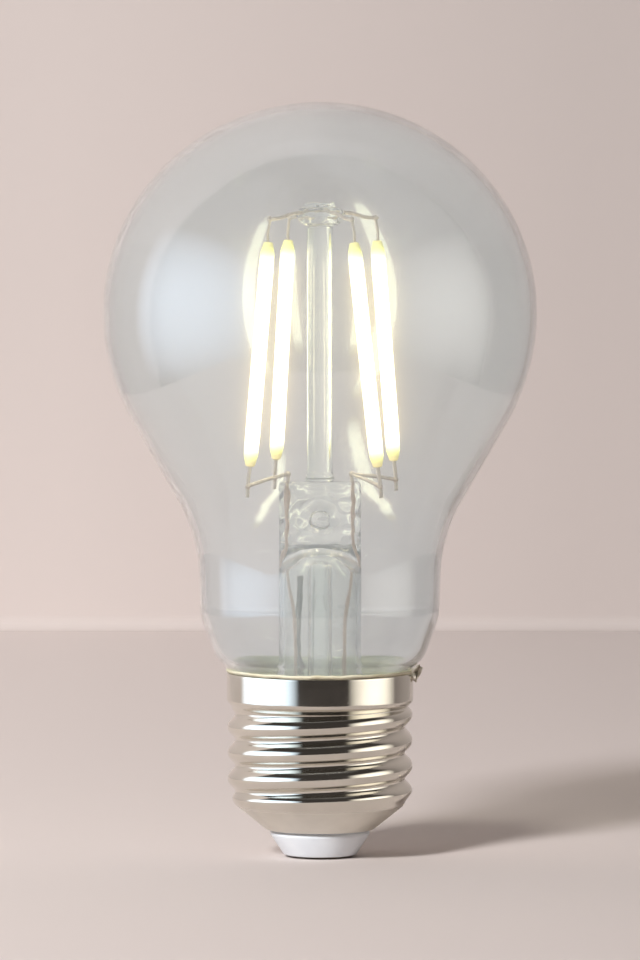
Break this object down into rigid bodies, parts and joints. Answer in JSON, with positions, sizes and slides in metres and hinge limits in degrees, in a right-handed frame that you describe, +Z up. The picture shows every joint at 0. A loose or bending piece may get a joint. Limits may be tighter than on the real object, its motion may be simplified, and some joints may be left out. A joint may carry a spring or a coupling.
{
  "type": "smart light bulb",
  "caption": "Clear pear-shaped glass light bulb with upright glowing filament rods on a glass stem, a metal screw cap and a radio-controlled driver sealed inside the cap",
  "frame": {"origin": "middle of the flat face of the centre contact at the cap's foot, which the bulb stands on", "axes": "+Z up through the crown of the glass, +X to the viewer's right, -Y towards the viewer"},
  "size_m": [0.0608, 0.0608, 0.106],
  "materials": {
    "envelope_glass": "clear",
    "stem_glass": "clear",
    "phosphor": "satin",
    "nickel": "polished",
    "wire": "satin",
    "solder": "satin",
    "contact_metal": "satin",
    "insulator": "satin",
    "cement": "matte",
    "liner": "matte",
    "board": "satin",
    "moulding": "matte",
    "capacitor_sleeve": "satin",
    "ferrite": "matte",
    "resistor_body": "satin",
    "insulated_wire": "satin"
  },
  "bodies": {
    "root": {"glass_envelope": "envelope_glass", "stem_glass": "stem_glass", "exhaust_tube": "stem_glass", "stem_rod": "stem_glass", "glass_button": "stem_glass", "upper_tie_wire": "wire", "lead_in_wire_left": "wire", "lead_in_wire_right": "wire", "screw_shell": "nickel", "base_insulator": "insulator", "centre_contact": "contact_metal", "cap_cement": "cement", "side_solder": "solder", "neutral_wire": "wire", "live_wire": "wire", "antenna_wire": "insulated_wire", "driver_liner": "liner", "driver_board": "board", "radio_board": "board", "radio_header": "moulding", "radio_shield": "nickel", "smoothing_capacitor": "capacitor_sleeve", "drum_inductor": "ferrite", "fusible_resistor": "resistor_body", "bridge_rectifier": "moulding", "dimming_driver_chip": "moulding", "filament_front_left": "phosphor", "upper_terminal_front_left": "wire", "lower_terminal_front_left": "wire", "filament_back_left": "phosphor", "upper_terminal_back_left": "wire", "lower_terminal_back_left": "wire", "filament_front_right": "phosphor", "upper_terminal_front_right": "wire", "lower_terminal_front_right": "wire", "filament_back_right": "phosphor", "upper_terminal_back_right": "wire", "lower_terminal_back_right": "wire"}
  },
  "joints": []
}
